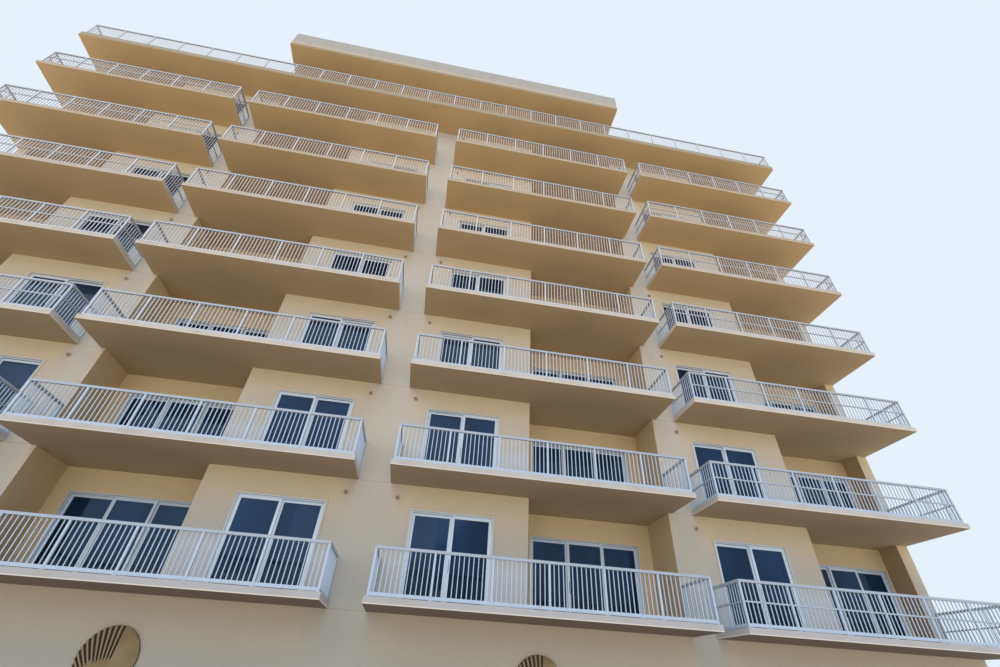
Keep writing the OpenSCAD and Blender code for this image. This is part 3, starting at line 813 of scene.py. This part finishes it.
# Sloped beads round both panes of each rear window, and its sill
def makeRearWindows(paints):
    x, z = everyWindow().T
    wide, bar, bead, y = window["width"], window["frame"], window["bead"], block["rearY"]
    pane = (wide - 3 * bar) / 2
    left = np.concatenate([x - bar, x - 2 * bar - pane])
    low = np.concatenate([z, z]) + bar
    lip = (window["frameDepth"] - window["glass"]) / 2
    glassFront = y - window["back"] - lip
    wedge = [(0, 0), (0, lip), (-bead * window["beadTop"], lip), (-bead, window["beadEdge"]), (-bead, 0)]
    beads = surround(wedge, left, left - pane, glassFront, low, low + window["height"] - 2 * bar)
    makePiece("window_glazing_beads", bothHalves(beads), paints["frame_paint"])
    outline = sillOutline(window["back"], window["sillRise"], window["sillSlope"])
    starts, ends = columns(x, y - window["back"], z), columns(x - wide, y - window["back"], z)
    sills = bothHalves(bars(outline, starts, ends, (0, -1, 0)))
    makePiece("window_sills", sills, paints["frame_paint"])


# A light's body and lens are profiles, each point a share of its radius and of how far it stands out
lamp = {
    "sides": [0.72, 9.74], "drop": 0.39, "radius": 0.057, "out": 0.08, "rings": 24,
    "body": [(0.9, 0), (1, 0.075), (1, 0.2), (0.86, 0.275), (0.84, 0.5), (0.9, 0.56), (0.9, 0.72),
             (0.74, 0.8), (0.7, 0.7)],
    "lens": [(0.71, 0.68), (0.66, 0.8), (0.52, 0.91), (0.3, 0.98), (0.08, 1)],
}


# A turned body: ring k of the profile (radius, out) is a circle of that radius, that far from the wall
def turned(profile, centres):
    radius, out = (np.array(profile) * (lamp["radius"], lamp["out"])).T
    corners = centres[:, None] - columns(0, out, 0)
    return bothHalves(carry(polygon(lamp["rings"]), corners, columns(radius, 0, 0), columns(0, 0, radius)))


def makeWallLights(paints):
    centres = []
    for row in range(1, block["rows"] + 2):
        z = block["ground"] + row * block["storey"] - lamp["drop"]
        centres += [(x, block["wallY"], z) for x in lamp["sides"][:2 if row <= block["rows"] else 1]]
    centres = np.array(centres)
    makePiece("lamp_bodies", turned(lamp["body"], centres), paints["light_paint"],
              smooth=True, replaced="wall_lights")
    makePiece("lamp_lenses", turned(lamp["lens"], centres), paints["lamp"], smooth=True)


shell = {
    "centres": [-13.86, -4.81, 4.81, 13.86], "z": 1.80, "radius": 0.615, "out": 0.06,
    "hubSide": 0.14, "hubDrop": 1.27, "grooves": 11, "step": 4.6, "grooveStart": 1.27,
    "grooveWidth": 0.06, "grooveDepth": 0.034, "grooveEase": 0.03, "rimWidth": 0.12, "rimOut": 0.7,
    "perStep": 10, "raysBefore": 30, "raysAfter": 12, "alongRay": 18, "edgeAngle": 0.05, "tiny": 1e-9,
}


# A disc scored by grooves that fan out from a hub below it. Its points lie on rays from the hub:
# hub + distance * (direction of the ray), from where the ray enters the disc to where it leaves it.
# The height over the wall is the disc's, eased down at the rim, less a half-round groove on the rays
# of the fan, whose width grows with the distance from the hub.
def makeShells(paints):
    r = shell["radius"]
    hub = np.array((shell["hubSide"] * r, -shell["hubDrop"] * r))
    reach = np.linalg.norm(hub)
    middle = np.degrees(np.arctan2(hub[0], -hub[1]))
    span = np.degrees(np.arcsin(r / reach)) - shell["edgeAngle"]
    start, end = -shell["step"] / 2, (shell["grooves"] - 0.5) * shell["step"]
    angles = np.concatenate([np.linspace(middle - span, start, shell["raysBefore"])[:-1],
                             np.linspace(start, end, shell["grooves"] * shell["perStep"] + 1),
                             np.linspace(end, middle + span, shell["raysAfter"])[1:]])
    turn = np.radians(angles)[:, None]
    ray = np.stack([-np.sin(turn), np.cos(turn)], axis=-1)
    nearest = -(ray @ hub)
    half = np.sqrt(np.maximum(r * r - (reach ** 2 - nearest ** 2), shell["tiny"]))
    share = 0.5 - 0.5 * np.cos(np.linspace(0, pi, shell["alongRay"]))
    distance = nearest - half + 2 * half * share
    spot = hub + distance[..., None] * ray
    rim = 1 - np.linalg.norm(spot, axis=-1) / r
    groove = np.clip(np.round(angles / shell["step"]), 0, shell["grooves"] - 1) * shell["step"]
    off = distance * np.sin(np.radians(angles - groove))[:, None]
    width = shell["grooveWidth"] / 2 * distance / (reach + r)
    begin = np.clip((distance - shell["grooveStart"] * r) / shell["grooveEase"], 0, 1)
    depth = np.sqrt(np.clip(1 - (off / width) ** 2, 0, 1)) * begin
    fan = begin * ((angles > start) & (angles < end))[:, None]
    crown = np.sqrt(np.clip(rim / shell["rimWidth"], 0, 1))
    height = shell["out"] * (shell["rimOut"] + (1 - shell["rimOut"]) * crown) - shell["grooveDepth"] * depth
    # each ring also touches the wall at both ends, which closes the disc at its rim and back
    spot = np.concatenate([spot[:, :1], spot, spot[:, -1:]], axis=1)
    height = np.pad(height, ((0, 0), (1, 1)))
    depth, fan = np.pad(depth, ((0, 0), (1, 1))), np.pad(fan, ((0, 0), (1, 1)), "edge")
    points = np.stack([spot[..., 0], block["wallY"] - height, shell["z"] + spot[..., 1]], axis=-1)
    centres = columns(shell["centres"], 0, 0)
    shape = joinRings(centres[:, None, None] + points)
    piece = makePiece("fluted_medallions", shape, paints["cast_shell"],
                      replaced="shell_medallions")
    for mark, values in (("grooveDepth", depth), ("fanShare", fan)):
        layer = piece.data.attributes.new(mark, "FLOAT", "POINT")
        layer.data.foreach_set("value", np.tile(values.ravel(), len(centres)).astype(np.float32))


makeView()
paints = makePaints()
dressNodes(paints)
makeRailings(paints)
makeDoorTrim(paints)
makeBlinds(paints)
makeRearWindows(paints)
makeWallLights(paints)
makeShells(paints)
